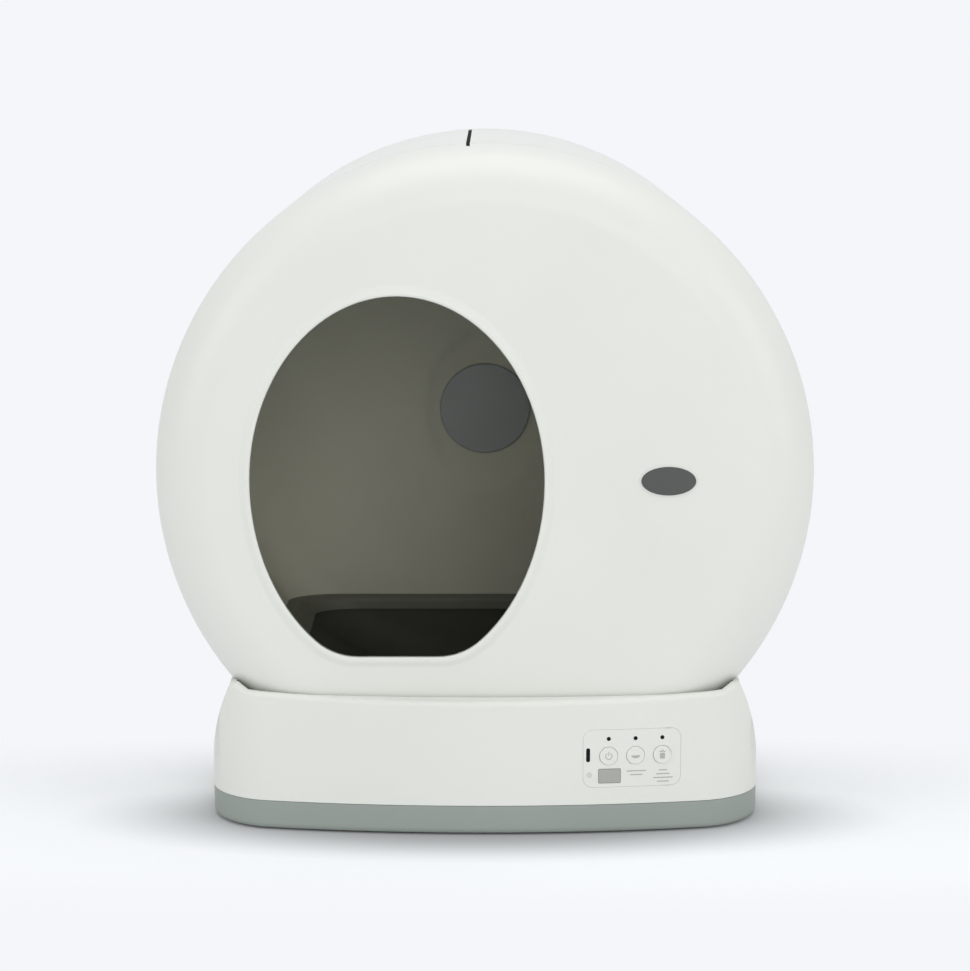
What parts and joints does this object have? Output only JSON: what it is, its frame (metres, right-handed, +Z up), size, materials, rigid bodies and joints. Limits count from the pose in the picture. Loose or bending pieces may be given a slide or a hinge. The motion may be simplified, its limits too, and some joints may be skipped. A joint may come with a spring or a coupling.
{
  "type": "self cleaning litter box",
  "caption": "Free-standing self cleaning litter box: a round drum with an off-centre entrance turns in a low base and drops clumps into a lift-out bin.",
  "frame": {"origin": "bottom centre of the whole object, on the floor", "axes": "+Z up, -Y front with the entrance and the control panel, +X to the right seen from the front; the drum turns about Y"},
  "size_m": [0.53, 0.536, 0.548],
  "materials": {
    "white_shell": "satin moulded",
    "band_grey": "satin moulded",
    "liner_grey": "fine matt texture",
    "hub_grey": "satin moulded",
    "tray_black": "fine matt texture",
    "gear_nylon": "natural nylon",
    "steel": "zinc plated",
    "screw_steel": "zinc plated",
    "motor_steel": "drawn can",
    "gearbox_black": "moulded",
    "bearing_nylon": "filled nylon",
    "bracket_grey": "moulded",
    "roller_rubber": "soft tread",
    "foot_rubber": "moulded",
    "sensor_metal": "anodised",
    "clear_lens": "smoked light pipe",
    "dark_lens": "polished",
    "board_green": "solder mask",
    "switch_black": "moulded",
    "magnet_metal": "nickel plated"
  },
  "bodies": {
    "base": {"base_housing": "white_shell", "base_bottom": "band_grey", "rear_cover": "white_shell", "rubber_feet": "foot_rubber", "weight_sensors": "sensor_metal", "drive_frame": "steel", "axle_bearing": "bearing_nylon", "gearbox": "gearbox_black", "gear_motor": "motor_steel", "roller_brackets": "bracket_grey", "roller_axles": "steel", "panel_fascia": "white_shell", "panel_board": "board_green", "tact_switches": "switch_black", "light_pipes": "clear_lens", "sensor_window": "dark_lens", "presence_sensor": "switch_black", "main_board": "board_green", "board_standoffs": "bracket_grey", "dc_inlet": "switch_black", "hall_sensor": "switch_black", "base_screws": "screw_steel", "cover_screws": "screw_steel"},
    "drum": {"drum_front_shell": "white_shell", "drum_body_shell": "white_shell", "drum_liner": "liner_grey", "litter_tray": "tray_black", "sieve_panel": "liner_grey", "bin_shelf": "liner_grey", "hub_cap": "hub_grey", "drum_axle": "steel", "axle_clip": "steel", "ring_gear": "gear_nylon", "ring_gear_screws": "screw_steel", "home_magnet": "magnet_metal", "keeper_plates": "steel"},
    "lift_out_bin": {"waste_bin": "liner_grey", "bin_cover": "white_shell", "bin_magnets": "magnet_metal"},
    "drive_pinion": {"drive_pinion": "gear_nylon", "output_shaft": "steel"},
    "button_left": {"button_left": "white_shell"},
    "button_middle": {"button_middle": "white_shell"},
    "button_right": {"button_right": "white_shell"},
    "roller_1": {"roller_1": "roller_rubber"},
    "roller_2": {"roller_2": "roller_rubber"},
    "roller_3": {"roller_3": "roller_rubber"},
    "roller_4": {"roller_4": "roller_rubber"}
  },
  "joints": [
    {"name": "drum_turn", "type": "hinge", "parent": "base", "child": "drum", "pos_m": [0, 0, 0.283], "axis": [0, -1, 0], "range_deg": [-170, 30]},
    {"name": "bin_lift", "type": "slide", "parent": "drum", "child": "lift_out_bin", "axis": [0, 0, 1], "range_m": [0, 0.26]},
    {"name": "pinion_turn", "type": "hinge", "parent": "base", "child": "drive_pinion", "pos_m": [0, 0.22, 0.175], "axis": [0, -1, 0], "continuous": true},
    {"name": "roller_1_turn", "type": "hinge", "parent": "base", "child": "roller_1", "pos_m": [-0.17565, -0.15, 0.05818], "axis": [0, -1, 0], "continuous": true},
    {"name": "roller_2_turn", "type": "hinge", "parent": "base", "child": "roller_2", "pos_m": [-0.17565, 0.1, 0.05818], "axis": [0, -1, 0], "continuous": true},
    {"name": "roller_3_turn", "type": "hinge", "parent": "base", "child": "roller_3", "pos_m": [0.17565, -0.15, 0.05818], "axis": [0, -1, 0], "continuous": true},
    {"name": "roller_4_turn", "type": "hinge", "parent": "base", "child": "roller_4", "pos_m": [0.17565, 0.1, 0.05818], "axis": [0, -1, 0], "continuous": true},
    {"name": "button_left_press", "type": "slide", "parent": "base", "child": "button_left", "axis": [-0.1237, 0.9923, 0], "range_m": [0, 0.0006], "stiffness_N_per_m": 1500},
    {"name": "button_middle_press", "type": "slide", "parent": "base", "child": "button_middle", "axis": [-0.1237, 0.9923, 0], "range_m": [0, 0.0006], "stiffness_N_per_m": 1500},
    {"name": "button_right_press", "type": "slide", "parent": "base", "child": "button_right", "axis": [-0.1237, 0.9923, 0], "range_m": [0, 0.0006], "stiffness_N_per_m": 1500}
  ],
  "couplings": [
    {"joint": "pinion_turn", "follows": "drum_turn", "ratio": -5},
    {"joint": "roller_1_turn", "follows": "drum_turn", "ratio": -13.25},
    {"joint": "roller_2_turn", "follows": "drum_turn", "ratio": -13.25},
    {"joint": "roller_3_turn", "follows": "drum_turn", "ratio": -13.25},
    {"joint": "roller_4_turn", "follows": "drum_turn", "ratio": -13.25}
  ]
}
